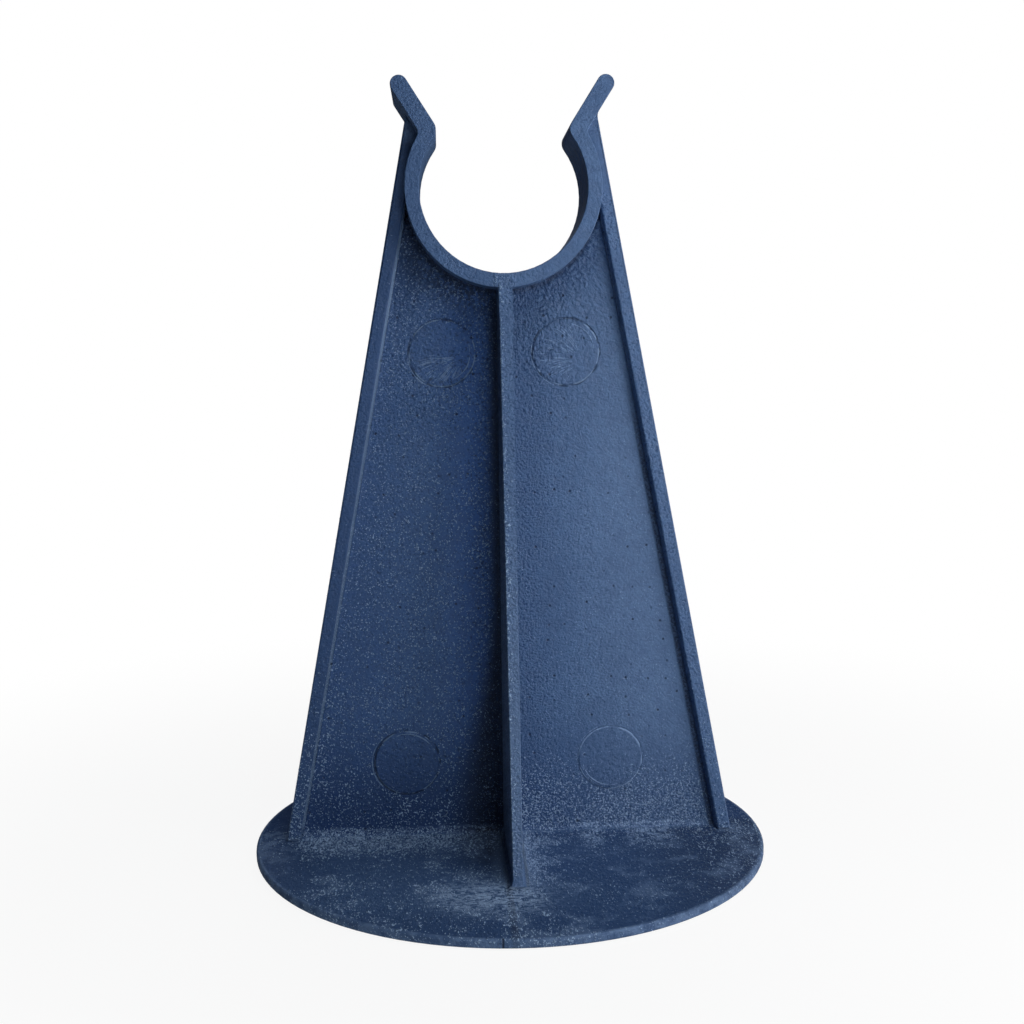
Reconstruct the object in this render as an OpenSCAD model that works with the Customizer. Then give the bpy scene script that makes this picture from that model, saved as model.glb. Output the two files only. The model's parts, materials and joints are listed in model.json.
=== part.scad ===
// Rebar chair: a one-piece plastic spacer that stands on a round foot plate and
// holds one reinforcing bar at cover height in an open snap clip.
// Frame: +Z up, X across the clip, Y along the bar, origin at the middle of the
// foot plate's underside. Millimetres.

/* [Foot plate] */
// Diameter of the round foot plate
foot_d = 67.5; // [62:0.5:80]
// Thickness of the foot plate
foot_thick = 1.1; // [1:0.1:2]
// Rounding of the foot plate's two rim edges
rim_round = 0.3; // [0.1:0.05:0.4]

/* [Upright] */
// Height of the bar's seat above the ground, which is the concrete cover
seat_h = 75; // [60:1:90]
// Thickness of the flat web between the border flanges
web_thick = 2; // [1.6:0.1:2.4]
// Width of the upright where it meets the foot plate
upright_w = 59.5; // [56:0.5:60]
// Distance from the clip's band to a border's outer face, level with the bore's middle
border_offset = 1.5; // [1.3:0.05:1.8]
// Width of a border flange's flat face
flange_face = 1.7; // [1.4:0.1:2]
// Depth of a border flange from front to back
flange_depth = 4.8; // [4:0.2:6]
// Draft of a border flange's inner side, in degrees
flange_draft = 12; // [6:1:16]

/* [Centre ribs] */
// Thickness of the ribs at the middle of the web
rib_thick = 1.8; // [1.6:0.1:2]
// Reach of a rib in front of the web's middle, at the foot plate
rib_reach = 19.9; // [17:0.1:22]
// Draft of each rib side, in degrees
rib_draft = 0.85; // [0.5:0.05:1]

/* [Snap clip] */
// Bore of the clip
bore_d = 21; // [20:0.5:22]
// Thickness of the springy band round the bore
band_thick = 1.8; // [1.6:0.1:2.2]
// Length of the clip along the bar
clip_len = 11; // [10:0.5:13]
// Angle above the bore's middle at which the band ends in its knees, in degrees
knee_angle = 41; // [36:1:46]
// Rounding of the knees that the bar snaps past
knee_round = 1.5; // [1:0.1:1.8]
// Fillet in the corner behind each knee, between band and lip
knee_fillet = 1; // [0.6:0.1:1.4]
// Thickness of the flared lips
lip_thick = 2.15; // [1.8:0.05:2.4]
// Lean of the flared lips from the vertical, in degrees
lip_lean = 32.5; // [28:0.5:36]
// Height of the lip tips above the bore's middle
lip_rise = 13.5; // [12.5:0.1:14.5]

/* [Moulding] */
// Fillet where the upright and the ribs stand on the foot plate
foot_fillet = 1.1; // [0.6:0.1:1.4]
// Fillet in the other inside corners
root_fillet = 0.5; // [0.3:0.1:0.6]
// Fillet in the notch between a lip and its border flange
notch_fillet = 1.2; // [0.8:0.1:1.4]
// Diameter of the round ejector marks on the front of the web
ejector_d = 8.4; // [7:0.2:9]
// Height that the ejector marks stand proud
ejector_proud = 0.12; // [0.05:0.01:0.2]
// Distance of the upper pair of ejector marks from the middle
upper_mark_x = 8; // [7:0.1:8.5]
// Distance of the upper pair of ejector marks below the bar's seat
upper_mark_drop = 9.8; // [9:0.1:14]
// Distance of the lower pair of ejector marks from the middle
lower_mark_x = 13.6; // [10:0.1:16]
// Height of the lower pair of ejector marks above the ground
lower_mark_z = 11.1; // [10:0.1:14]

/* [Hidden] */
$fn = 96;
// segments of a quarter round in a fillet
fillet_steps = 6;
// overlap that makes joined forms one solid
bite = 0.4;
// how far a trimming shape runs past what it trims
clear = 2;

plastic = "#3a5074";

bore_r = bore_d / 2;
band_r = bore_r + band_thick;
bore_z = seat_h + bore_r;
tip_r = lip_thick / 2;
// the borders lean in from the foot plate to the sides of the band
border_lean = atan((upright_w / 2 - band_r - border_offset) / (bore_z - foot_thick));
// the rib's front edge runs into the clip's face halfway up the band
rib_lean = atan((rib_reach - clip_len / 2) / (seat_h - band_thick / 2 - foot_thick));
rib_top = seat_h - bite;

// the half width of the upright at any height
function border_x(z) = upright_w / 2 - (z - foot_thick) * tan(border_lean);

// how far a rib stands out from the middle of the web at any height
function rib_front(z) = rib_reach - (z - foot_thick) * tan(rib_lean);

// lip directions in the clip's own plane, bore middle at the origin
lip_dir = [sin(lip_lean), cos(lip_lean)];
lip_out = [cos(lip_lean), -sin(lip_lean)];
knee = bore_r * [cos(knee_angle), sin(knee_angle)];
lip_root = knee + lip_out * tip_r;
lip_len = (lip_rise - tip_r - lip_root[1]) / lip_dir[1];
tip = lip_root + lip_dir * lip_len;

// the knee's round touches the bore and the lip's inner face
knee_gap = knee * lip_out + knee_round;
knee_along = sqrt(pow(bore_r + knee_round, 2) - pow(knee_gap, 2));
knee_mid = lip_out * knee_gap + lip_dir * knee_along;
knee_low = knee_mid * bore_r / (bore_r + knee_round);
knee_high = knee_mid - lip_out * knee_round;

// the fillet behind the knee touches the band and the lip's outer face
back_gap = knee * lip_out + lip_thick + knee_fillet;
back_along = sqrt(pow(band_r + knee_fillet, 2) - pow(back_gap, 2));
back_mid = lip_out * back_gap + lip_dir * back_along;
back_turn = atan2(back_mid[1], back_mid[0]);

// points of an arc, from one angle to another
function arc(mid, r, from, to, steps) =
    [for (i = [0 : steps]) mid + r * [cos(from + (to - from) * i / steps), sin(from + (to - from) * i / steps)]];

// hollow corner between a floor (y = 0) and a wall that leans back from it, sunk into both
module fillet_2d(r, lean = 0) {
    mid = [r * (1 - sin(lean)) / cos(lean), r];
    wall_y = r - r * sin(lean);
    polygon(concat(
        [[-bite - wall_y * tan(lean), -bite], [mid[0], -bite]],
        arc(mid, r, 270, 180 + lean, fillet_steps),
        [[-bite - wall_y * tan(lean), wall_y]]
    ));
}

// a plane outline stood up in XZ and made thick to both sides of the middle plane
module stand(depth) {
    rotate([90, 0, 0])
        linear_extrude(height = depth, center = true)
            children();
}

// the same form on both sides of the middle
module both_sides() {
    children();
    mirror([1, 0, 0])
        children();
}

// the same form on both faces of the web
module front_and_back() {
    children();
    mirror([0, 1, 0])
        children();
}

// everything between the lips, above the line through their middles
module above_lips_2d() {
    far = lip_dir * (lip_len + clear);
    polygon([
        [0, 0],
        lip_root,
        lip_root + far,
        [-lip_root[0] - far[0], lip_root[1] + far[1]],
        [-lip_root[0], lip_root[1]]
    ]);
}

module foot_plate() {
    edge = rim_round;
    color(plastic)
        rotate_extrude()
            polygon(concat(
                [[0, 0]],
                arc([foot_d / 2 - edge, edge], edge, 270, 360, fillet_steps),
                arc([foot_d / 2 - edge, foot_thick - edge], edge, 0, 90, fillet_steps),
                [[0, foot_thick]]
            ));
}

// the flat web fills the space between the borders, up to the band and the lips
module web() {
    top = bore_z + tip[1];
    inset = flange_face / 2;
    color(plastic)
        stand(web_thick)
            difference() {
                polygon([
                    [-border_x(bite) + inset, bite],
                    [border_x(bite) - inset, bite],
                    [border_x(top) - inset, top],
                    [-border_x(top) + inset, top]
                ]);
                translate([0, bore_z]) {
                    circle(r = bore_r + band_thick / 2);
                    above_lips_2d();
                }
            }
}

// cross-section of a border flange, outer face on x = 0, web towards -x
module flange_section_2d() {
    half = flange_depth / 2;
    slope = tan(flange_draft);
    root = flange_face + (half - web_thick / 2) * slope;
    edge = root_fillet / 2;
    module quarter() {
        polygon(concat(
            [[0, 0], [0, half - edge]],
            arc([-edge, half - edge], edge, 0, 90, fillet_steps),
            arc([-flange_face + edge, half - edge], edge, 90, 180 - flange_draft, fillet_steps),
            [[-root, web_thick / 2], [-root, 0]]
        ));
        // soft inside corner against the web
        translate([-root, web_thick / 2])
            mirror([1, 0])
                fillet_2d(root_fillet, flange_draft);
    }
    quarter();
    mirror([0, 1])
        quarter();
}

// a border flange runs straight from the foot plate to the underside of its lip
module border_flange() {
    run = bore_z + lip_rise;
    top = bore_z + tip[1];
    color(plastic)
        intersection() {
            translate([border_x(0), 0, 0])
                rotate([0, -border_lean, 0])
                    translate([0, 0, -flange_face])
                        linear_extrude(height = run)
                            flange_section_2d();
            stand(flange_depth + clear)
                difference() {
                    polygon([
                        [0, bite],
                        [border_x(0) + clear, bite],
                        [border_x(top) + clear, top],
                        [0, top]
                    ]);
                    translate([0, bore_z])
                        above_lips_2d();
                }
        }
}

// rounds out the notch between a flange's outer face and its lip, and closes the gap
// that the flange, the lip and the band leave between them
module notch_round() {
    color(plastic)
        translate([0, 0, bore_z])
            stand(flange_depth)
                notch_2d();
}

module notch_2d() {
    // where the lip's outer face meets the flange's outer face
    lip_face = lip_root + lip_out * tip_r;
    flange_out = [cos(border_lean), sin(border_lean)];
    flange_up = [-sin(border_lean), cos(border_lean)];
    turn = border_lean + lip_lean;
    along = (([border_x(bore_z), 0] - lip_face) * flange_out) / sin(turn);
    corner = lip_face + lip_dir * along;
    reach = notch_fillet * tan(turn / 2);
    mid = corner + lip_dir * reach + lip_out * notch_fillet;
    low = knee[1] / 2;
    polygon(concat(
        [lip_root, [border_x(bore_z + low) - flange_face / 2, low], corner - flange_up * reach],
        arc(mid, notch_fillet, 180 + border_lean, 180 - lip_lean, fillet_steps)
    ));
}

// plan of one rib with its drafted sides
module rib_plan_2d() {
    half = rib_thick / 2;
    reach = rib_reach + clear;
    thin = half - reach * tan(rib_draft);
    polygon([[-half, 0], [-thin, -reach], [thin, -reach], [half, 0]]);
}

// a rib seen from the side
module rib_side_2d(low, top) {
    polygon([
        [0, low],
        [-rib_front(low), low],
        [-rib_front(top), top],
        [0, top]
    ]);
}

// a centre rib is a tall gusset: wide at the foot plate, flush with the clip at the top
module rib() {
    low = foot_thick / 2;
    color(plastic)
        intersection() {
            union() {
                translate([0, 0, low])
                    linear_extrude(height = rib_top - low)
                        rib_plan_2d();
                both_sides()
                    rib_side_fillet(rib_reach + clear);
            }
            rotate([90, 0, 90])
                linear_extrude(height = rib_thick + 4 * foot_fillet, center = true)
                    rib_side_2d(low, rib_top);
        }
}

// upright soft corners between a rib and the web
module rib_root_fillets() {
    top = seat_h - band_thick / 2;
    half = rib_thick / 2 - web_thick / 2 * tan(rib_draft);
    color(plastic)
        both_sides()
            translate([half, -web_thick / 2, foot_thick / 2])
                linear_extrude(height = top - foot_thick / 2)
                    mirror([0, 1])
                        fillet_2d(root_fillet);
}

// hollow corner between the band's outside and the web
module band_fillet() {
    color(plastic)
        translate([0, 0, bore_z])
            rotate([90, 180, 0])
                rotate_extrude(angle = 180)
                    translate([band_r, web_thick / 2])
                        fillet_2d(root_fillet);
}

// fillets where the web and the toe of a rib stand on the foot plate
module foot_fillets() {
    length = 2 * border_x(foot_thick) - flange_face;
    toe_half = rib_thick / 2 - rib_reach * tan(rib_draft);
    spread = foot_fillet + clear;
    color(plastic) {
        translate([-length / 2, -web_thick / 2, foot_thick])
            rotate([90, 0, 90])
                linear_extrude(height = length)
                    mirror([1, 0])
                        fillet_2d(foot_fillet);
        rib_toe_fillet(toe_half);
        // the side and toe fillets of a rib meet in a mitre
        both_sides()
            intersection() {
                rib_side_fillet(rib_reach + spread);
                rib_toe_fillet(toe_half + spread);
            }
    }
}

// along one drafted side of a rib
module rib_side_fillet(run) {
    translate([rib_thick / 2, 0, foot_thick])
        rotate([90, 0, -rib_draft])
            linear_extrude(height = run)
                fillet_2d(foot_fillet);
}

// across the rib's sloping front edge
module rib_toe_fillet(half_width) {
    translate([half_width, -rib_reach, foot_thick])
        rotate([90, 0, -90])
            linear_extrude(height = 2 * half_width)
                fillet_2d(foot_fillet, rib_lean);
}

// the springy band, its rounded knees and the two flared lips
module clip() {
    color(plastic)
        translate([0, 0, bore_z])
            stand(clip_len) {
                difference() {
                    circle(r = band_r);
                    circle(r = bore_r);
                    throat_2d();
                }
                both_sides() {
                    lip_2d();
                    knee_2d();
                    knee_back_2d();
                }
            }
}

// a flared lip, from its knee to its round tip
module lip_2d() {
    polygon([
        knee_high,
        lip_root + lip_out * tip_r,
        tip + lip_out * tip_r,
        tip - lip_out * tip_r
    ]);
    translate(tip)
        circle(r = tip_r);
}

// the knee's round, on the side the bar passes only
module knee_2d() {
    reach = 2 * knee_round;
    inward = -knee_mid / norm(knee_mid);
    below = [-inward[1], inward[0]];
    intersection() {
        translate(knee_mid)
            circle(r = knee_round);
        polygon([
            knee_mid,
            knee_mid + (lip_dir - lip_out) * reach,
            knee_mid + (inward - lip_out) * reach,
            knee_mid + (inward + below) * reach
        ]);
    }
}

// hollow corner behind the knee, sunk into band and lip
module knee_back_2d() {
    polygon(concat(
        [lip_root],
        arc(back_mid, knee_fillet, 180 + back_turn, 180 - lip_lean, fillet_steps)
    ));
}

// the way in for the bar, cut out of the band and into the lips' roots
module throat_2d() {
    step = knee_high + lip_out * bite;
    far = step + lip_dir * lip_rise;
    polygon([
        [0, 0],
        knee_low,
        knee_high,
        step,
        far,
        [-far[0], far[1]],
        [-step[0], step[1]],
        [-knee_high[0], knee_high[1]],
        [-knee_low[0], knee_low[1]]
    ]);
}

// flat round marks left by the ejector pins, on the front face only
module ejector_marks() {
    spots = [[upper_mark_x, seat_h - upper_mark_drop], [lower_mark_x, lower_mark_z]];
    color(plastic)
        for (spot = spots)
            both_sides()
                translate([spot[0], -web_thick / 2 + bite, spot[1]])
                    rotate([90, 0, 0])
                        cylinder(d = ejector_d, h = bite + ejector_proud);
}

module rebar_chair() {
    foot_plate();
    web();
    both_sides() {
        border_flange();
        notch_round();
    }
    front_and_back() {
        rib();
        rib_root_fillets();
        band_fillet();
        foot_fillets();
    }
    clip();
    ejector_marks();
}

rebar_chair();
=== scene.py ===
import json
import math
import random
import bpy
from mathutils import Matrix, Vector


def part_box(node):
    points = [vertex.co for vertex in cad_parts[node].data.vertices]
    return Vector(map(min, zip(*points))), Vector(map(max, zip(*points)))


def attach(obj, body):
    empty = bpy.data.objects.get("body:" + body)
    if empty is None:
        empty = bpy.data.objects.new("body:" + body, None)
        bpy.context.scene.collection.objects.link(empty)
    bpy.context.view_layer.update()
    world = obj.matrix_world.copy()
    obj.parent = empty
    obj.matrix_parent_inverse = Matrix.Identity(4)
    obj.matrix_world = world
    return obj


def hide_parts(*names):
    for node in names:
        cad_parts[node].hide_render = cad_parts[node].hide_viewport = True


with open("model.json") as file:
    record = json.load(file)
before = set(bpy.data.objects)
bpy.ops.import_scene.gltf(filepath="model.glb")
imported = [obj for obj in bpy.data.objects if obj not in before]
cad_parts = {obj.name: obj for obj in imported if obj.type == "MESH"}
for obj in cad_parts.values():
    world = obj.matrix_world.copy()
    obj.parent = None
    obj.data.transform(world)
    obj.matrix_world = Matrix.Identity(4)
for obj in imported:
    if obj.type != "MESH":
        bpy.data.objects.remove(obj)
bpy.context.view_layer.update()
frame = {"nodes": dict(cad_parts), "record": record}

from types import SimpleNamespace

import bmesh
import bpy
from mathutils import Matrix, Vector

mm = 0.001
chairNode = frame["nodes"]["rebar_chair"]
low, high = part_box("rebar_chair")
footRadius = (high.x - low.x) / 2
barSeat = next(m for m in frame["record"]["mounts"] if m["name"] == "bar_seat")
boreZ = barSeat["pos_m"][2]
padMiddles = ((8.0, 65.2), (13.6, 11.1))     # ejector marks, mm across and up, one to each side
print("frame loaded, foot plate", round(footRadius * 2 / mm, 2), "mm across")


# small helpers for the node trees

def addNode(tree, kind, **settings):
    node = tree.nodes.new(kind)
    for name, value in settings.items():
        setattr(node, name, value)
    return node


def feed(node, slot, value):
    # another node's socket is linked in, anything else is set
    if isinstance(value, bpy.types.NodeSocket):
        node.id_data.links.new(value, node.inputs[slot])
    else:
        node.inputs[slot].default_value = value


def setIn(node, **values):
    for name, value in values.items():
        feed(node, name.replace("_", " "), value)
    return node


def treeOf(*values):
    # the tree that the sockets among these are in
    return next(value.id_data for value in values if isinstance(value, bpy.types.NodeSocket))


def mathNode(operation, first, second=None, clamp=False):
    node = addNode(treeOf(first, second), "ShaderNodeMath", operation=operation, use_clamp=clamp)
    feed(node, 0, first)
    if second is not None:
        feed(node, 1, second)
    return node.outputs[0]


def inTurn(operation, values):
    # two at a time, from the first to the last
    total = values[0]
    for value in values[1:]:
        total = mathNode(operation, total, value)
    return total


def both(*masks):
    return inTurn("MULTIPLY", masks)


def either(*masks):
    return inTurn("MAXIMUM", masks)


def plus(*values):
    return inTurn("ADD", values)


def less(first, second):
    return mathNode("SUBTRACT", first, second)


def unsigned(value):
    return mathNode("ABSOLUTE", value)


def ramp(source, fromLow, fromHigh, toLow=0.0, toHigh=1.0):
    # a soft step: with no other figures, 0 at the first one and 1 at the second
    node = addNode(source.id_data, "ShaderNodeMapRange", interpolation_type="SMOOTHSTEP")
    setIn(node, Value=source, From_Min=fromLow, From_Max=fromHigh, To_Min=toLow, To_Max=toHigh)
    return node.outputs["Result"]


def downTo(share, mask):
    # 1 off the mask, and this share where the mask is full
    return ramp(mask, 0.0, 1.0, 1.0, share)


def joined(across, along, up=0.0):
    node = addNode(across.id_data, "ShaderNodeCombineXYZ")
    setIn(node, X=across, Y=along, Z=up)
    return node.outputs[0]


def separated(place):
    return setIn(addNode(place.id_data, "ShaderNodeSeparateXYZ"), Vector=place).outputs


def distance(across, along):
    node = addNode(across.id_data, "ShaderNodeVectorMath", operation="LENGTH")
    feed(node, 0, joined(across, along))
    return node.outputs["Value"]


def noise(place, scale, detail=3.0, rough=0.6, distort=0.0):
    node = addNode(place.id_data, "ShaderNodeTexNoise")
    setIn(node, Vector=place, Scale=scale, Detail=detail, Roughness=rough, Distortion=distort)
    return node.outputs["Fac"]


def placed(place, offset=(0, 0, 0), scale=(1, 1, 1), turn=(0, 0, 0)):
    node = addNode(place.id_data, "ShaderNodeMapping")
    setIn(node, Vector=place, Location=offset, Scale=scale, Rotation=turn)
    return node.outputs["Vector"]


def mixColour(amount, first, second):
    node = addNode(treeOf(amount, first, second), "ShaderNodeMix", data_type="RGBA")
    for slot, value in ((0, amount), (6, first), (7, second)):
        feed(node, slot, value)
    return node.outputs[2]


def newMaterial(name):
    material = bpy.data.materials.new(name)
    material.use_nodes = True
    material.node_tree.nodes.clear()
    return material, material.node_tree


def toScene(thing):
    bpy.context.scene.collection.objects.link(thing)
    return thing


# camera at the eye height of someone looking slightly down at the chair

cameraKit = {
    "place": (-0.008225, -0.166712, 0.063086),
    "yaw": 0.0417,        # to the right of straight ahead, radians
    "pitch": -0.1154,
    "roll": 0.0132,
    "lens": 44.835,
    "sensor": 36.0,
    "shift": (0.01566, 0.00503),
    "nearest": 5 * mm,
}


def makeCamera(kit):
    lens = bpy.data.cameras.new("camera")
    lens.sensor_width = kit["sensor"]
    lens.lens = kit["lens"]
    lens.shift_x, lens.shift_y = kit["shift"]
    lens.clip_start = kit["nearest"]
    camera = toScene(bpy.data.objects.new("camera", lens))
    yaw, pitch, roll = kit["yaw"], kit["pitch"], kit["roll"]
    ahead = Vector((math.sin(yaw) * math.cos(pitch), math.cos(yaw) * math.cos(pitch), math.sin(pitch)))
    level = Vector((math.cos(yaw), -math.sin(yaw), 0))
    under = ahead.cross(level)
    right = level * math.cos(roll) + under * math.sin(roll)
    up = right.cross(ahead)
    turn = Matrix((right, up, -ahead)).transposed()
    camera.matrix_world = Matrix.Translation(kit["place"]) @ turn.to_4x4()
    bpy.context.scene.camera = camera


# pale studio: soft lamps mostly from the right, aimed at the middle of the chair

studioKit = {
    # name, degrees round from the front, degrees up, metres away,
    # height aimed at, metres across, watts, tint
    "lamps": (
        ("sideLamp", 75, 5, 0.35, 0.050, 0.16, 0.33, (1.0, 0.97, 0.94)),
        ("frontLamp", 15, 5, 0.35, 0.050, 0.16, 0.235, (0.88, 0.95, 1.0)),
        ("highLamp", 15, 60, 0.35, 0.050, 0.16, 0.31, (0.88, 0.95, 1.0)),
        ("nearLamp", 48, 0, 0.10, 0.085, 0.05, 0.046, (1.0, 0.98, 0.96)),
        ("lowLamp", 60, 0, 0.10, 0.020, 0.05, 0.015, (1.0, 0.98, 0.96)),
        ("rearLamp", 178, 40, 0.35, 0.050, 0.20, 0.23, (0.92, 0.96, 1.0)),
    ),
    "roomColour": (0.93, 0.96, 1.0, 1),
    "roomStrength": 0.03,
    "white": (1, 1, 1, 1),
    "floorColour": (0.80, 0.81, 0.82, 1),
    "floorReach": 3.0,
    "floorDrop": 0.1 * mm,         # just under the foot plate
    "shadowReach": (0.03, 0.15),   # metres from the middle, beyond which the floor is plain white
    "whiteNear": 0.90,
}


def makeLamp(name, place, size, power, target, tint):
    lamp = bpy.data.lights.new(name, "AREA")
    lamp.shape = "DISK"
    lamp.size = size
    lamp.energy = power
    lamp.color = tint
    holder = bpy.data.objects.new(name, lamp)
    holder.location = place
    holder.rotation_mode = "QUATERNION"
    holder.rotation_quaternion = (target - place).to_track_quat("-Z", "Y")
    holder.visible_camera = False
    toScene(holder)


def backdropSeen(tree):
    # 1 for what the camera sees straight or through something clear
    path = addNode(tree, "ShaderNodeLightPath")
    return either(path.outputs["Is Camera Ray"], path.outputs["Is Transmission Ray"])


def blended(tree, amount, first, second, end):
    # two finishes mixed and sent out
    mix = addNode(tree, "ShaderNodeMixShader")
    for slot, value in enumerate((amount, first.outputs[0], second.outputs[0])):
        feed(mix, slot, value)
    feed(addNode(tree, end), 0, mix.outputs[0])


def makeStudio(kit):
    for name, around, up, away, height, size, power, tint in kit["lamps"]:
        aim = Vector((0, 0, height))
        a, e = math.radians(around), math.radians(up)
        way = Vector((math.sin(a) * math.cos(e), -math.cos(a) * math.cos(e), math.sin(e)))
        makeLamp(name, aim + way * away, size, power, aim, tint)

    world = bpy.data.worlds.new("paleRoom")
    world.use_nodes = True
    tree = world.node_tree
    tree.nodes.clear()
    light = addNode(tree, "ShaderNodeBackground")
    setIn(light, Color=kit["roomColour"], Strength=kit["roomStrength"])
    white = addNode(tree, "ShaderNodeBackground")
    setIn(white, Color=kit["white"], Strength=1.0)
    blended(tree, backdropSeen(tree), light, white, "ShaderNodeOutputWorld")
    bpy.context.scene.world = world


def makeFloor(kit):
    material, tree = newMaterial("paleFloor")
    shade = setIn(addNode(tree, "ShaderNodeBsdfDiffuse"), Color=kit["floorColour"])
    glow = setIn(addNode(tree, "ShaderNodeEmission"), Color=kit["white"], Strength=1.0)
    away = addNode(tree, "ShaderNodeVectorMath", operation="LENGTH")
    feed(away, 0, addNode(tree, "ShaderNodeTexCoord").outputs["Object"])
    near, far = kit["shadowReach"]
    white = ramp(away.outputs["Value"], near, far, kit["whiteNear"], 1.0)
    blended(tree, both(white, backdropSeen(tree)), shade, glow, "ShaderNodeOutputMaterial")

    mesh = bpy.data.meshes.new("floor")
    reach = kit["floorReach"]
    corners = [(-reach, -reach, 0), (reach, -reach, 0), (reach, reach, 0), (-reach, reach, 0)]
    mesh.from_pydata(corners, [], [(0, 1, 2, 3)])
    floor = bpy.data.objects.new("floor", mesh)
    floor.data.materials.append(material)
    floor.location.z = -kit["floorDrop"]
    toScene(floor)


makeCamera(cameraKit)
makeStudio(studioKit)
makeFloor(studioKit)
bpy.context.scene.view_settings.view_transform = "Standard"
print("camera and studio ready")


# the moulding's plastic: slate blue with a spark-eroded grain, light specks, pits and scuffs, and painted
# shade and painted light in places
# places and sizes in it are in millimetres, and most steps are soft masks from 0 to 1

plasticKit = {
    "colour": (0.067, 0.131, 0.268, 1),
    "deepColour": (0.018, 0.052, 0.143, 1),
    # painted shade: a stronger blue for the left side, which the rib shades
    "shadedLeftColour": (0.036, 0.108, 0.350, 1),
    # painted shade: near-black blue low on the web and on the foot plate behind the web
    "paintedShadeColour": (0.006, 0.034, 0.128, 1),
    # light specks of the grain, partly painted glints
    "speckColour": (0.330, 0.470, 0.690, 1),
    "rubColour": (0.250, 0.380, 0.600, 1),
    # scuffs, and painted light where the lamps on the right light more
    "scuffColour": (0.135, 0.215, 0.370, 1),
    "pitColour": (0.010, 0.022, 0.058, 1),
    "roughness": (0.46, 0.68),
    "footRoughness": (0.74, 0.98),   # in front, and behind the web
    "specular": 0.36,
    "grainSize": 0.33,
    "mottleSize": 1.3,
    "patchSize": 8.0,
    "pitSpacing": 2.5,
    "pitRadius": 0.085,
    "pitShare": 0.7,
    "bumpDepth": 0.26,
    "webEdge": (29.8, 0.189),      # half width of the web at its foot, and its lean
    "bandReach": (12.15, 12.4),    # from the bore's middle, where the band ends
    "markLine": -2.5,              # the mould's witness line across the rim
    "padRadius": 4.35,
}


def findPlaces(place, kit):
    # where each part of the chair is
    at = SimpleNamespace(place=place)
    at.x, at.y, at.z = separated(place)
    at.out = unsigned(at.y)        # how far in front of or behind the middle
    at.side = unsigned(at.x)
    at.left = ramp(at.x, 1.0, -3.0)
    at.front = ramp(at.y, 0.0, -1.0)
    at.drop = less(boreZ / mm, at.z)
    at.boreAway = distance(at.x, at.drop)
    bottom, lean = kit["webEdge"]
    edge = less(bottom, both(at.z, lean))
    at.toEdge = less(edge, at.side)
    at.toLeftEdge = plus(edge, at.x)

    offClip = both(ramp(at.boreAway, *kit["bandReach"]), ramp(at.z, 86.0, 84.5))
    at.clip = both(ramp(at.out, 4.6, 5.2), ramp(at.z, 70.0, 73.0))
    at.foot = ramp(at.z, 1.5, 1.2)
    at.rim = ramp(distance(at.x, at.y), 33.1, 33.45)
    at.web = both(ramp(at.out, 1.9, 1.4), ramp(at.z, 1.2, 1.6), offClip)
    at.lowWeb = both(ramp(at.z, 19.0, 3.5), at.web)
    at.rib = both(ramp(at.side, 1.7, 1.2), ramp(at.out, 1.6, 2.4), ramp(at.z, 1.7, 2.6))
    at.besideRib = both(ramp(at.side, 11.0, 1.5), at.web)
    at.junction = both(ramp(at.out, 10.0, 2.2), ramp(at.z, 2.6, 2.0))     # web and foot plate meet
    at.besideEdge = both(ramp(at.toLeftEdge, 9.0, 3.0), ramp(at.z, 52.0, 12.0), at.web)

    # a border's drafted side and its face
    nearEdge = ramp(at.toEdge, 3.4, 2.6)
    at.draft = both(ramp(at.out, 1.16, 1.32), ramp(at.out, 2.36, 2.2),
                    both(nearEdge, ramp(at.z, 2.0, 3.0)), offClip)
    at.border = both(nearEdge, ramp(at.out, 2.1, 2.3),
                     both(ramp(at.out, 3.2, 2.7), ramp(at.z, 1.4, 2.4)), offClip)

    # the corner left of the rib, which narrows upwards, and the foot plate's far ends behind the web, where
    # shade is painted
    cornerReach = ramp(at.z, 4.0, 32.0, 8.6, 2.5)
    at.corner = both(ramp(mathNode("DIVIDE", at.side, cornerReach), 1.0, 0.40), ramp(at.x, -0.80, -1.0),
                     both(ramp(at.out, 18.0, 6.0), ramp(at.z, 72.8, 71.5)))
    at.farEnds = both(at.foot, both(ramp(at.side, 21.0, 27.0), ramp(at.y, 0.5, 3.5)))

    # two stretches right of the rib where the foot of the web is smeared
    at.smears = either(both(ramp(at.x, 8.6, 10.0), ramp(at.x, 13.0, 11.6)),
                       both(ramp(at.x, 14.2, 16.0), ramp(at.x, 23.2, 21.0)))
    return at


def layNoises(at, kit):
    # even noises the rest is made of; the grain lies longer from front to back over the foot plate
    stretched = joined(at.x, both(at.y, ramp(at.z, 1.1, 1.4, 0.45, 1.0)), at.z)
    return SimpleNamespace(
        grain=noise(stretched, 1 / kit["grainSize"], 2.0, 0.55),
        fineGrain=noise(placed(stretched, offset=(4.1, 7.7, 2.3)), 1.7 / kit["grainSize"], 1.0, 0.5),
        clump=noise(placed(at.place, offset=(5.3, 2.8, 7.1)), 0.17),
        mottle=noise(at.place, 1 / kit["mottleSize"], 4.0),
        patch=noise(at.place, 1 / kit["patchSize"], 3.0, 0.55),
        cloud=noise(placed(at.place, offset=(11, 3, 0)), 0.21, 5.0, 0.68),
        leather=noise(placed(at.place, offset=(1.9, 0.6, 8.8)), 2.1, 2.0, 0.5, 0.6))


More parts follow.
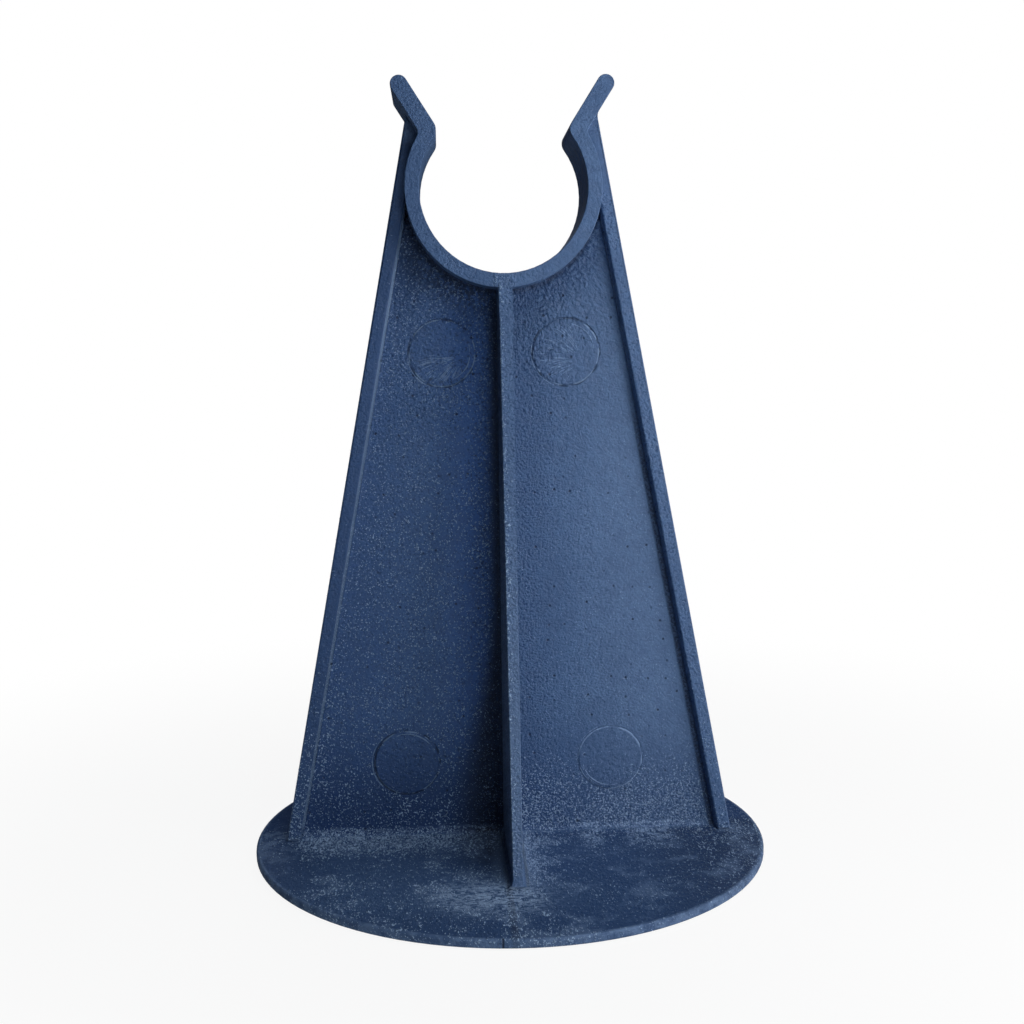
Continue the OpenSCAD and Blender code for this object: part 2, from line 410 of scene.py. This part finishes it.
def markPads(at, waves, kit):
    # the flat faces the ejector pins left, and the dark broken line round each on the front, partly a
    # painted shadow of the raised pad, stronger on the left
    pads, rings = [], []
    for across, up in padMiddles:
        away = distance(less(at.side, across), less(at.z, up))
        pads.append(ramp(away, kit["padRadius"], kit["padRadius"] - 0.3))
        rings.append(ramp(unsigned(less(away, kit["padRadius"])), 0.20, 0.06))
    at.pad = both(either(*pads), at.web, at.front)
    leftArc = both(ramp(at.x, -14.2, -16.2), ramp(at.z, 30.0, 20.0))
    at.ringLine = both(either(*rings), at.web,
                       both(at.front, either(ramp(waves.mottle, 0.46, 0.56), leftArc)),
                       either(ramp(at.x, 2.0, -2.0), ramp(at.z, 30.0, 50.0, 0.25, 0.9)))


def coarseness(at, waves):
    # grain is coarse low down and beside the rib, and dies out towards the right edge
    coarse = either(
        both(at.besideRib, ramp(at.z, 44.0, 58.0, 1.15, 1.5)),
        at.lowWeb,
        both(at.junction, 1.1),
        both(at.foot, 0.55),
        both(at.border, 0.7),
        at.draft,
        both(ramp(at.x, 4.0, -6.0), both(at.web, 0.75)),
        ramp(at.toEdge, 4.0, 14.0, 0.22, 0.50),
        both(at.web, at.left, ramp(at.z, 46.0, 58.0, 0.0, 1.05)),
        both(at.rib, 0.95),
        both(at.clip, ramp(at.x, -2.0, 6.0, 0.55, 0.34)))
    return both(coarse, ramp(waves.patch, 0.32, 0.66, 0.75, 1.25))


def crowding(at, waves):
    # how thickly the light specks lie
    mottle, cloud = waves.mottle, waves.cloud
    clumped = either(ramp(waves.clump, 0.38, 0.60, 0.60, 1.04), ramp(at.x, -1.0, 2.0))
    alongFoot = both(ramp(at.out, 13.0, 3.5), at.foot, ramp(mottle, 0.34, 0.54, 0.66, 1.0),
                     both(ramp(at.side, 31.0, 27.5), ramp(at.y, 2.0, 0.0, 0.5, 1.0)))
    atRibToe = both(ramp(at.side, 11.0, 2.5), ramp(at.out, 27.0, 14.0), at.foot)
    crowd = either(
        # the web's foot and left edge, and the bend into the foot plate
        both(at.lowWeb, ramp(at.x, -1.0, 2.0, 0.64, 0.70), clumped),
        both(at.besideEdge, 0.58, clumped),
        both(at.junction, both(ramp(at.x, -1.0, 3.0, 0.86, 0.52), ramp(mottle, 0.38, 0.56, 0.7, 1.0))),
        both(alongFoot, either(ramp(at.x, -1.0, 3.0, 1.15, 0.48), both(at.smears, 0.95))),
        # the borders
        both(at.draft, both(ramp(at.x, 4.0, -4.0, 0.25, 0.8), ramp(at.z, 60.0, 15.0, 0.5, 1.0))),
        both(at.border, ramp(at.z, 40.0, 8.0, 0.12, 0.34)),
        both(at.border, at.left, ramp(at.z, 22.0, 9.0, 0.12, 0.58)),
        # the foot plate
        both(atRibToe, ramp(at.x, -1.0, 1.5, 0.62, 1.0), ramp(cloud, 0.36, 0.56, 0.40, 0.95)),
        both(at.foot, both(ramp(cloud, 0.44, 0.60, 0.20, 0.66), ramp(at.x, 14.0, -4.0, 0.6, 1.0))),
        both(at.foot, ramp(at.x, 17.0, 26.0), ramp(at.out, 17.0, 4.0, 0.42, 0.64)),
        both(at.foot, 0.34),
        # the rest of the web, and the rib
        both(at.web, ramp(at.x, 2.0, -2.0, 0.18, 0.40)),
        both(at.web, ramp(at.z, 46.0, 62.0), ramp(at.x, 2.0, -2.0, 0.18, 0.52)),
        both(at.rib, ramp(at.x, 0.3, -0.7, 0.24, 0.60)),
        both(at.besideRib, at.left, 0.56))
    crowd = plus(crowd, both(less(waves.patch, 0.5), 0.35))
    crowd = both(crowd, both(downTo(0.78, at.corner), downTo(0.62, at.pad)))
    return both(crowd, downTo(0.45, both(at.foot, at.left, ramp(at.side, 25.0, 30.0))))


def scatterSpecks(at, waves):
    # specks are the tops of the grain, lower tops where they crowd
    crowd = crowding(at, waves)
    level = less(0.735, both(crowd, 0.215))
    specks = ramp(less(waves.grain, level), 0.0, 0.045)
    specks = both(specks, ramp(crowd, 0.55, 0.85, 1.0, 0.25))
    fineLevel = less(0.745, both(crowd, 0.225))
    fineSpecks = ramp(less(waves.fineGrain, fineLevel), 0.0, 0.05)
    specks = either(specks, both(fineSpecks, 0.85))
    specks = both(specks, ramp(crowd, 0.15, 0.45, 0.55, 1.0))
    specks = both(specks, both(ramp(at.z, 42.0, 58.0, 1.0, 0.50), ramp(at.x, 1.0, 5.0, 1.0, 0.85)))
    return both(specks, downTo(0.35, at.farEnds))


def layScuffs(at, waves):
    # rubbed patches and drag marks, and the bright streaks across the toe of each rib, with painted light
    # on the left border's drafted side and beside each rib's toe
    slant = placed(at.place, scale=(0.9, 1.0, 3.4), turn=(0, 0.16, 0))
    drag = both(ramp(noise(slant, 0.8, 3.0, 0.6, 0.3), 0.46, 0.60), at.junction,
                either(both(at.smears, 0.8), both(at.left, 0.5)))
    # partly painted light on the fillets beside each rib's toe, which the lamps on the right light, partly
    # scuffs
    besideToe = both(ramp(at.side, 3.4, 2.0), ramp(at.side, 0.8, 1.1),
                     both(at.foot, ramp(at.out, 21.0, 17.0)))
    scuff = either(
        both(ramp(waves.cloud, 0.50, 0.64), at.foot, ramp(at.y, -1.0, 1.0, 0.38, 0.20)),
        drag,
        both(besideToe, 0.5))
    scuff = either(
        both(scuff, downTo(0.3, at.farEnds)),
        both(at.rim, ramp(waves.mottle, 0.36, 0.60, 0.22, 0.62)),
        # painted light: the left border's drafted side, lighter as if lit from the right
        both(at.draft, ramp(at.x, 0.0, -4.0, 0.0, 0.9)),
        both(at.rib, ramp(at.z, 60.0, 15.0, 0.0, 0.38)))

    toeAway = distance(both(plus(at.x, 2.6), 0.105), both(less(at.out, 22.0), 0.16))
    atToe = both(ramp(toeAway, 1.2, 0.2), at.foot)
    streaks = noise(placed(at.place, scale=(0.85, 1.5, 1.0)), 1.0, 4.0, 0.7, 1.3)
    bright = both(ramp(streaks, 0.44, 0.56), both(atToe, ramp(at.x, 0.5, 4.5, 1.0, 0.45)))
    return scuff, bright


def dots(place, spacing, radius, share):
    # round dots on a flat face, one in a share of the cells
    cells = addNode(place.id_data, "ShaderNodeTexVoronoi", voronoi_dimensions="2D")
    setIn(cells, Vector=place, Scale=1 / spacing, Randomness=1.0)
    spot = ramp(cells.outputs["Distance"], radius, radius * 0.45)
    pick = addNode(place.id_data, "ShaderNodeSeparateColor")
    feed(pick, 0, cells.outputs["Color"])
    chosen = mathNode("LESS_THAN", pick.outputs[0], share)
    return both(spot, chosen, ramp(pick.outputs[1], 0.35, 1.0, 0.18, 1.0))


def darkMarks(at, waves, kit):
    # a few pits on the web
    pits = both(dots(joined(at.x, at.z), kit["pitSpacing"], kit["pitRadius"], kit["pitShare"]), at.web)
    # the mould's witness line down the rim
    line = both(ramp(unsigned(less(at.x, kit["markLine"])), 0.16, 0.05),
                both(ramp(at.out, 33.2, 33.4), at.front))
    # broken lines where the web meets the band, and down the groove beside the right border: painted shade
    # in the crease and in the shaded groove
    bandLine = both(ramp(at.boreAway, 13.2, 12.5), at.web, ramp(waves.mottle, 0.40, 0.56, 0.3, 0.9))
    groove = both(ramp(unsigned(less(at.toEdge, 2.15)), 0.55, 0.20), ramp(at.x, 5.0, 9.0),
                  both(ramp(waves.grain, 0.42, 0.56, 0.40, 1.0), ramp(at.z, 66.0, 50.0)),
                  ramp(at.out, 1.8, 1.2))
    return either(pits, line, both(at.ringLine, 0.8), groove, bandLine)


def colourCoats(at, waves, marks):
    # how much of which colour goes over the last; much of it is painted shade, a darker and stronger blue
    # on the left side, which the rib shades
    byBorder = both(ramp(at.toLeftEdge, 11.0, 3.0), at.left, at.web)
    leftHead = both(ramp(at.x, -10.0, -12.0), ramp(at.z, 64.0, 76.0),
                    both(ramp(at.out, 2.6, 2.4), ramp(at.z, 92.5, 91.0)),
                    ramp(at.boreAway, 12.35, 12.6))
    ribLeft = both(ramp(at.x, -0.60, -0.76), ramp(at.side, 1.7, 1.3),
                   both(ramp(at.out, 1.2, 1.6), ramp(at.z, 71.0, 69.0)))
    return (
        (ramp(waves.patch, 0.34, 0.66, 0.28, 0.0), "deepColour"),
        # the foot plate
        (both(at.foot, ramp(at.x, -8.0, 12.0, 0.44, 0.86)), "deepColour"),
        (both(at.foot, ramp(at.side, 20.0, 31.0), 0.88), "deepColour"),
        # painted shade: the foot plate darker behind the web
        (both(at.foot, ramp(at.y, 1.0, 4.0), 0.60), "deepColour"),
        (both(at.foot, ramp(at.out, 22.0, 30.0), 0.75), "deepColour"),
        (both(at.foot, ramp(at.x, 12.0, 26.0), 0.55), "pitColour"),
        # painted shade on the foot plate's far ends, behind the web
        (both(at.farEnds, 0.92), "paintedShadeColour"),
        # the web, the clip and the borders, mostly painted shade on the left side, which the rib shades,
        # low on the web and beside the rib
        # painted shade: a stronger blue over the left web
        (both(at.left, at.web, ramp(at.x, -8.0, -22.0, 0.27, 0.38)), "shadedLeftColour"),
        # painted shade along the left border
        (both(byBorder, 0.32), "deepColour"),
        # painted shade: the clip darker on its left
        (both(at.clip, at.left, 0.30), "deepColour"),
        # painted shade on the left border
        (both(at.left, at.border, 0.36), "shadedLeftColour"),
        (both(at.left, at.border, 0.64), "deepColour"),
        (both(at.besideRib, at.left, 0.85), "shadedLeftColour"),
        # painted shade on the web just right of the rib
        (both(at.besideRib, ramp(at.x, -1.0, 1.0, 0.0, 0.30)), "deepColour"),
        # painted shade low on the web, most on the left
        (both(at.lowWeb, ramp(at.x, 3.0, -3.0, 0.46, 0.90)), "paintedShadeColour"),
        # painted shade in the corner left of the rib
        (both(at.corner, 0.94), "pitColour"),
        # painted shade beside the clip's left lip
        (both(leftHead, 0.85), "deepColour"),
        # painted shade on the rib's left side
        (both(ribLeft, 0.75), "pitColour"),
        # partly painted light, partly smoother plastic: the web lighter towards its right edge
        (both(ramp(at.x, 6.0, 17.0), at.web, 0.22), "scuffColour"),
        # mottling, the hollows of the grain, partly painted shade, and painted shade under the band, broken
        # up by the leathery grain
        (both(ramp(waves.mottle, 0.58, 0.40), 0.22), "deepColour"),
        (both(ramp(waves.grain, 0.47, 0.34), marks.coarse), "deepColour"),
        (both(marks.underBand, 0.85), "deepColour"),
        (both(marks.underBand, at.left, 0.60), "pitColour"),
        # wear; the scuff coat also holds painted light, the light specks, brighter on the left, are partly
        # painted glints, and the dark marks hold painted shade in creases and round the pads
        (marks.scuff, "scuffColour"),
        (both(marks.bright, 0.70), "speckColour"),
        (both(marks.specks, ramp(at.x, 6.0, -4.0, 0.76, 0.97)), "speckColour"),
        (both(marks.dark, 0.85), "pitColour"),
    )


def surfaceHeight(at, waves, marks):
    # in shares of bumpDepth, with fine lines that fan out in the web under the clip's band
    fanPlace = joined(both(mathNode("ARCTAN2", at.x, at.drop), 30.0), both(at.boreAway, 0.7))
    inFan = both(ramp(at.boreAway, 27.0, 14.0), at.web)
    height = plus(
        both(waves.grain, marks.coarse),
        both(marks.specks, 0.22),
        both(noise(fanPlace, 1.0, 2.0), inFan, 1.3),
        both(waves.leather, ramp(at.boreAway, 40.0, 15.0, 0.3, 1.0), both(at.web, 1.4)),
        both(waves.mottle, 0.45))
    return less(height, both(marks.dark, 0.7))


def makePlastic(kit, name, lift=0.0):
    # lift: how far the colour is rubbed towards its lighter scuffed look
    material, tree = newMaterial(name)
    inMm = addNode(tree, "ShaderNodeVectorMath", operation="SCALE")
    feed(inMm, 0, addNode(tree, "ShaderNodeTexCoord").outputs["Object"])
    setIn(inMm, Scale=1 / mm)
    at = findPlaces(inMm.outputs[0], kit)
    waves = layNoises(at, kit)
    markPads(at, waves, kit)

    marks = SimpleNamespace(coarse=coarseness(at, waves), specks=scatterSpecks(at, waves),
                            dark=darkMarks(at, waves, kit))
    marks.scuff, marks.bright = layScuffs(at, waves)
    # painted shade under the band, broken up by the leathery grain
    marks.underBand = both(ramp(at.boreAway, 17.5, 12.9), ramp(waves.leather, 0.60, 0.46, 0.2, 1.0), at.web)
    base = kit["colour"]
    for amount, colour in colourCoats(at, waves, marks):
        base = mixColour(amount, base, kit[colour])
    if lift:
        base = mixColour(lift, base, kit["rubColour"])

    bump = addNode(tree, "ShaderNodeBump")
    setIn(bump, Strength=1.0, Distance=kit["bumpDepth"] * mm, Height=surfaceHeight(at, waves, marks))
    gloss = either(ramp(waves.mottle, 0.35, 0.65, *kit["roughness"]),
                   both(at.foot, ramp(at.y, -8.0, 3.0, *kit["footRoughness"])))
    shade = addNode(tree, "ShaderNodeBsdfPrincipled")
    setIn(shade, Base_Color=base, Roughness=gloss, Specular_IOR_Level=kit["specular"],
          Normal=bump.outputs["Normal"])
    feed(addNode(tree, "ShaderNodeOutputMaterial"), 0, shade.outputs[0])
    return material


plastic = makePlastic(plasticKit, "slateBluePlastic")
rubbedPlastic = makePlastic(plasticKit, "rubbedPlastic", 0.5)
print("plastic ready")


# the moulding itself: the solid's own form, with rounder bends and its edges eased

bodyKit = {
    "mergeDistance": 0.001 * mm,
    "flatAngle": 0.2,         # degrees, faces this flat to each other become one
    "bendReach": 13 * mm,     # the band's bends lie within this of the bore's middle
    "bendSteps": 3,           # each short flat round the bore becomes this many
    "sameReach": 0.01 * mm,
    "leastSag": 0.005 * mm,
    "furthestMove": 0.12 * mm,
    "easeAngle": 32.0,        # edges sharper than this are eased
    "easeWidth": 0.10 * mm,
    "easeSteps": 2,
}


def boreReach(place):
    return math.hypot(place.x, place.z - boreZ)


def bendEdges(shape, kit):
    # the short straight edges that stand for a curve round the bore, with their reach
    bends = []
    for edge in shape.edges:
        start, end = [vert.co for vert in edge.verts]
        reach = boreReach(start)
        uneven = abs(reach - boreReach(end)) > kit["sameReach"] or abs(start.y - end.y) > kit["sameReach"]
        if reach > kit["bendReach"] or uneven:
            continue
        if boreReach((start + end) / 2) < reach - kit["leastSag"]:
            bends.append((edge, reach))
    return bends


def roundBends(shape, kit):
    # finer flats round the band, inside and out
    bends = bendEdges(shape, kit)
    reaches = {vert: reach for edge, reach in bends for vert in edge.verts}
    known = set(shape.verts)
    bmesh.ops.subdivide_edges(shape, edges=[edge for edge, reach in bends], cuts=kit["bendSteps"] - 1)

    def neighbours(vert):
        return [edge.other_vert(vert) for edge in vert.link_edges]

    def reachBeside(vert):
        return next((reaches[other] for other in neighbours(vert) if other in reaches), None)

    for vert in shape.verts:
        if vert in known:
            continue
        reach = reachBeside(vert)
        if reach is None:
            for other in neighbours(vert):
                if other not in known:
                    reach = reachBeside(other) or reach
        if reach is None or abs(boreReach(vert.co) - reach) > kit["furthestMove"]:
            continue
        scale = reach / boreReach(vert.co)
        vert.co.x *= scale
        vert.co.z = boreZ + (vert.co.z - boreZ) * scale


def makeBody(kit):
    mesh = chairNode.data.copy()
    mesh.name = "chairBody"
    shape = bmesh.new()
    shape.from_mesh(mesh)
    bmesh.ops.remove_doubles(shape, verts=shape.verts, dist=kit["mergeDistance"])
    bmesh.ops.dissolve_limit(shape, angle_limit=math.radians(kit["flatAngle"]),
                             verts=shape.verts, edges=shape.edges)
    roundBends(shape, kit)
    for face in shape.faces:
        face.smooth = True
    shape.to_mesh(mesh)
    shape.free()
    mesh.materials.clear()
    mesh.materials.append(plastic)
    body = toScene(bpy.data.objects.new("chairBody", mesh))
    ease = body.modifiers.new("ease", "BEVEL")
    ease.limit_method = "ANGLE"
    ease.angle_limit = math.radians(kit["easeAngle"])
    ease.width = kit["easeWidth"]
    ease.segments = kit["easeSteps"]
    ease.use_clamp_overlap = False
    ease.miter_outer = "MITER_ARC"
    even = body.modifiers.new("even", "WEIGHTED_NORMAL")
    even.weight = 100
    even.keep_sharp = True
    return body


body = makeBody(bodyKit)
print("moulding ready")


# what repeats or follows a path is grown with geometry nodes and then made a plain mesh

def newGrowth(name, inputs):
    # an empty tree that takes a mesh, a material and the named sizes
    tree = bpy.data.node_groups.new(name, "GeometryNodeTree")
    face = tree.interface
    face.new_socket(name="Geometry", in_out="INPUT", socket_type="NodeSocketGeometry")
    face.new_socket(name="Geometry", in_out="OUTPUT", socket_type="NodeSocketGeometry")
    face.new_socket(name="Finish", in_out="INPUT", socket_type="NodeSocketMaterial")
    for entry in inputs:
        kind = "NodeSocketInt" if entry == "Seed" else "NodeSocketFloat"
        face.new_socket(name=entry, in_out="INPUT", socket_type=kind)
    return tree, addNode(tree, "NodeGroupInput").outputs


def finishGrowth(tree, sent, shape):
    # realised, given its material and sent out
    real = setIn(addNode(tree, "GeometryNodeRealizeInstances"), Geometry=shape)
    paint = addNode(tree, "GeometryNodeSetMaterial")
    setIn(paint, Geometry=real.outputs[0], Material=sent["Finish"])
    feed(addNode(tree, "NodeGroupOutput"), 0, paint.outputs[0])
    return tree


def grow(name, tree, mesh, finish, sizes):
    holder = toScene(bpy.data.objects.new(name, mesh))
    growth = holder.modifiers.new("growth", "NODES")
    growth.node_group = tree
    values = dict(sizes, Finish=finish)
    for item in tree.interface.items_tree:
        if item.in_out == "INPUT" and item.name in values:
            growth[item.identifier] = values[item.name]
    bpy.context.view_layer.update()
    graph = bpy.context.evaluated_depsgraph_get()
    plain = bpy.data.meshes.new_from_object(holder.evaluated_get(graph), depsgraph=graph)
    holder.modifiers.remove(growth)
    plain.name = name
    holder.data = plain
    return holder


# a thin uneven bead along every line of a mesh

def beadTree(waveLength=1.2 * mm, profileSides=6):
    inputs = ("Bead", "Least", "Step", "Waver", "Patchiness", "Taper", "Seed")
    tree, sent = newGrowth("beadGrowth", inputs)
    line = addNode(tree, "GeometryNodeMeshToCurve")
    feed(line, 0, sent["Geometry"])
    even = addNode(tree, "GeometryNodeResampleCurve", mode="LENGTH")
    setIn(even, Curve=line.outputs[0], Length=sent["Step"])

    # pushed a little off its line
    place = addNode(tree, "GeometryNodeInputPosition").outputs[0]
    wobble = addNode(tree, "ShaderNodeTexNoise", noise_dimensions="4D")
    setIn(wobble, Vector=place, W=sent["Seed"], Scale=1 / waveLength, Detail=2.0)
    centred = addNode(tree, "ShaderNodeVectorMath", operation="SUBTRACT")
    feed(centred, 0, wobble.outputs["Color"])
    feed(centred, 1, (0.5, 0.5, 0.5))
    shift = addNode(tree, "ShaderNodeVectorMath", operation="SCALE")
    feed(shift, 0, centred.outputs[0])
    setIn(shift, Scale=sent["Waver"])
    moved = addNode(tree, "GeometryNodeSetPosition")
    setIn(moved, Geometry=even.outputs[0], Offset=shift.outputs[0])

    # thick and thin along its length, and drawn out to nothing at the ends where asked
    share = mathNode("POWER", ramp(wobble.outputs["Fac"], 0.40, 0.60), sent["Patchiness"])
    along = addNode(tree, "GeometryNodeSplineParameter").outputs["Factor"]
    arch = both(mathNode("SINE", both(along, math.pi)), sent["Taper"])
    arch = plus(arch, less(1.0, sent["Taper"]))
    thick = plus(both(share, arch, sent["Bead"]), sent["Least"])
    sized = addNode(tree, "GeometryNodeSetCurveRadius")
    setIn(sized, Curve=moved.outputs[0], Radius=thick)
    ring = setIn(addNode(tree, "GeometryNodeCurvePrimitiveCircle"), Resolution=profileSides, Radius=1.0)
    bead = addNode(tree, "GeometryNodeCurveToMesh")
    setIn(bead, Curve=sized.outputs[0], Profile_Curve=ring.outputs[0], Fill_Caps=True)
    if "Scale" in bead.inputs:
        setIn(bead, Scale=thick)
    soft = setIn(addNode(tree, "GeometryNodeSetShadeSmooth"), Geometry=bead.outputs[0])
    return finishGrowth(tree, sent, soft.outputs[0])


def lineMesh(name, lines):
    # each line is its points, and whether it closes on itself
    points, edges = [], []
    for line, closed in lines:
        first = len(points)
        points.extend(line)
        edges.extend((first + i, first + i + 1) for i in range(len(line) - 1))
        if closed:
            edges.append((first + len(line) - 1, first))
    mesh = bpy.data.meshes.new(name)
    mesh.from_pydata(points, edges, [])
    return mesh


beads = beadTree()


# witness rings where the ejector pins pressed, and the scratches they left

padKit = {
    "radius": 4.22,             # millimetres, as are the faces and the depth sunk
    "webFace": -1.0,
    "padFace": -1.12,
    "sunk": 0.012,
    "ringSweep": 356,           # degrees, the last step closes the ring
    "ringPoints": 90,
    "ringBead": {"Bead": 0.125 * mm, "Least": 0.012 * mm, "Step": 0.28 * mm, "Waver": 0.12 * mm,
                 "Patchiness": 0.7, "Taper": 0.0, "Seed": 4},
    # pad, how far inside the ring, from and to in degrees
    "arcs": (
        (0, -0.30, 195, 250), (0, 0.62, -70, 20),
        (1, 0.55, -10, 80), (1, -0.28, 150, 250),
        (2, -0.42, 130, 235), (2, 0.30, 20, 110),
        (3, 0.48, 185, 285), (3, -0.30, 85, 150),
    ),
    "arcPoints": 40,
    "arcBead": {"Bead": 0.095 * mm, "Least": 0.008 * mm, "Step": 0.28 * mm, "Waver": 0.12 * mm,
                "Patchiness": 0.6, "Taper": 0.8, "Seed": 7},
    # pad, where its fan of scratches meets, how many, from and to in degrees
    "fans": ((0, 3.0, -0.6, 120, 165, 250), (1, 2.2, -1.2, 90, 95, 225)),
    "fanSunk": 0.006,
    "fanMargin": 0.45,          # left clear inside the ring
    "scratchBend": (0.02, 0.14),
    "scratchStart": (1.2, 4.8),
    "scratchLength": (0.8, 2.2),
    "scratchPoints": 12,
    "scratchBead": {"Bead": 0.030 * mm, "Least": 0.004 * mm, "Step": 0.22 * mm, "Waver": 0.04 * mm,
                    "Patchiness": 0.0, "Taper": 1.0, "Seed": 2},
    "seed": 11,
}
padPlaces = [(hand * across, up) for across, up in padMiddles for hand in (-1, 1)]


def arcPoints(middle, radius, start, stop, face, count):
    points = []
    for i in range(count):
        a = math.radians(start + (stop - start) * i / (count - 1))
        x, z = middle[0] + radius * math.cos(a), middle[1] + radius * math.sin(a)
        points.append((x * mm, face * mm, z * mm))
    return points


def makeRings(kit):
    face = kit["webFace"] + kit["sunk"]
    lines = []
    for pad in padPlaces:
        lines.append((arcPoints(pad, kit["radius"], 0, kit["ringSweep"], face, kit["ringPoints"]), True))
    return grow("ejectorRings", beads, lineMesh("ringLines", lines), rubbedPlastic, kit["ringBead"])


def makeArcs(kit):
    lines = []
    for number, inside, start, stop in kit["arcs"]:
        face = (kit["padFace"] if inside > 0 else kit["webFace"]) + kit["sunk"]
        radius = kit["radius"] - inside
        lines.append((arcPoints(padPlaces[number], radius, start, stop, face, kit["arcPoints"]), False))
    return grow("ejectorArcs", beads, lineMesh("arcLines", lines), rubbedPlastic, kit["arcBead"])


def makeScratches(kit):
    pick = random.Random(kit["seed"])
    face = kit["padFace"] + kit["fanSunk"]
    limit = kit["radius"] - kit["fanMargin"]
    steps = kit["scratchPoints"]
    lines = []
    for number, fx, fz, count, start, stop in kit["fans"]:
        px, pz = padPlaces[number]
        middle = Vector((px, 0, pz)) * mm
        for i in range(count):
            a = math.radians(pick.uniform(start, stop))
            bend = pick.uniform(*kit["scratchBend"])
            near = pick.uniform(*kit["scratchStart"])
            far = near + pick.uniform(*kit["scratchLength"])
            points = []
            for step in range(steps):
                r = near + (far - near) * step / (steps - 1)
                turn = a + bend * r / 2
                x, z = px + fx + r * math.cos(turn), pz + fz + r * math.sin(turn)
                points.append((x * mm, face * mm, z * mm))
            # only what lies on the pad
            inside = [p for p in points if (Vector((p[0], 0, p[2])) - middle).length < limit * mm]
            if len(inside) > 3:
                lines.append((inside, False))
    return grow("padScratches", beads, lineMesh("scratchLines", lines), rubbedPlastic, kit["scratchBead"])


rings = makeRings(padKit)
arcs = makeArcs(padKit)
scratches = makeScratches(padKit)
print("ejector marks ready")


# the fine flash where the two halves of the mould meet, up both borders

flashKit = {
    "foot": (29.75, 1.6),      # millimetres across and up, at the bottom of a border
    "head": (13.95, 84.6),
    "sunk": 0.02,
    "points": 40,
    "bead": {"Bead": 0.060 * mm, "Least": 0.015 * mm, "Step": 0.5 * mm, "Waver": 0.05 * mm,
             "Patchiness": 0.6, "Taper": 0.3, "Seed": 9},
}


def makeFlash(kit):
    (fx, fz), (hx, hz) = kit["foot"], kit["head"]
    lines = []
    for hand in (-1, 1):
        points = []
        for i in range(kit["points"]):
            t = i / (kit["points"] - 1)
            points.append((hand * (fx + (hx - fx) * t - kit["sunk"]) * mm, 0, (fz + (hz - fz) * t) * mm))
        lines.append((points, False))
    return grow("partingFlash", beads, lineMesh("flashLines", lines), plastic, kit["bead"])


flash = makeFlash(flashKit)
print("parting flash ready")


# tiny raised grains the worn mould leaves, crowded low on the web and over the foot plate

nibKit = {
    "width": 0.13 * mm,
    "height": 0.040 * mm,
    "perMm": 1.15,           # grains to a square millimetre where they crowd most
    "sparse": 0.10,
    "webTop": 72.0 * mm,
    "lowZone": 24.0 * mm,
    "rimGap": 0.5 * mm,
    "seed": 3,
}


def nibTree(patchSize=5.0 * mm, underside=1.0 * mm):
    inputs = ("Width", "Height", "Density", "Sparse", "Top", "Low Zone", "Foot Reach", "Seed")
    tree, sent = newGrowth("nibGrowth", inputs)
    place = addNode(tree, "GeometryNodeInputPosition").outputs[0]
    x, y, z = separated(place)

    # crowded near the foot of the web, thinning upwards
    low = mathNode("SUBTRACT", 1.0, mathNode("DIVIDE", z, sent["Low Zone"], clamp=True), clamp=True)
    patchy = ramp(noise(place, 1 / patchSize), 0.40, 0.62, 0.15, 1.0)
    low = both(mathNode("POWER", low, 1.5), patchy)
    # none on the rim, underneath, or about the clip
    amount = both(either(low, sent["Sparse"]),
                  mathNode("LESS_THAN", distance(x, y), sent["Foot Reach"]),
                  mathNode("LESS_THAN", z, sent["Top"]),
                  mathNode("GREATER_THAN", z, underside))
    scatter = addNode(tree, "GeometryNodeDistributePointsOnFaces")
    setIn(scatter, Mesh=sent["Geometry"], Density=both(amount, sent["Density"]), Seed=sent["Seed"])

    # a low blunt cone on each, of its own size, as shares of the width and height
    cone = addNode(tree, "GeometryNodeMeshCone")
    setIn(cone, Vertices=5, Radius_Top=0.28, Radius_Bottom=0.5, Depth=1.0)
    spread = addNode(tree, "FunctionNodeRandomValue", data_type="FLOAT")
    feed(spread, 2, 0.45)
    feed(spread, 3, 1.25)
    setIn(spread, Seed=sent["Seed"])
    size = spread.outputs[1]
    wide = both(size, sent["Width"])
    planted = addNode(tree, "GeometryNodeInstanceOnPoints")
    setIn(planted, Points=scatter.outputs["Points"], Instance=cone.outputs["Mesh"],
          Rotation=scatter.outputs["Rotation"], Scale=joined(wide, wide, both(size, sent["Height"])))
    return finishGrowth(tree, sent, planted.outputs[0])


def makeNibs(kit):
    return grow("surfaceNibs", nibTree(), body.data.copy(), rubbedPlastic,
                {"Width": kit["width"], "Height": kit["height"], "Density": kit["perMm"] / mm ** 2,
                 "Sparse": kit["sparse"], "Top": kit["webTop"], "Low Zone": kit["lowZone"],
                 "Foot Reach": footRadius - kit["rimGap"], "Seed": kit["seed"]})


nibs = makeNibs(nibKit)
print("surface grains ready,", len(nibs.data.polygons), "faces")


pieces = (body, rings, arcs, scratches, flash, nibs)
for piece in pieces:
    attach(piece, "root")
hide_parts("rebar_chair")
print("pieces placed:", ", ".join(piece.name for piece in pieces))
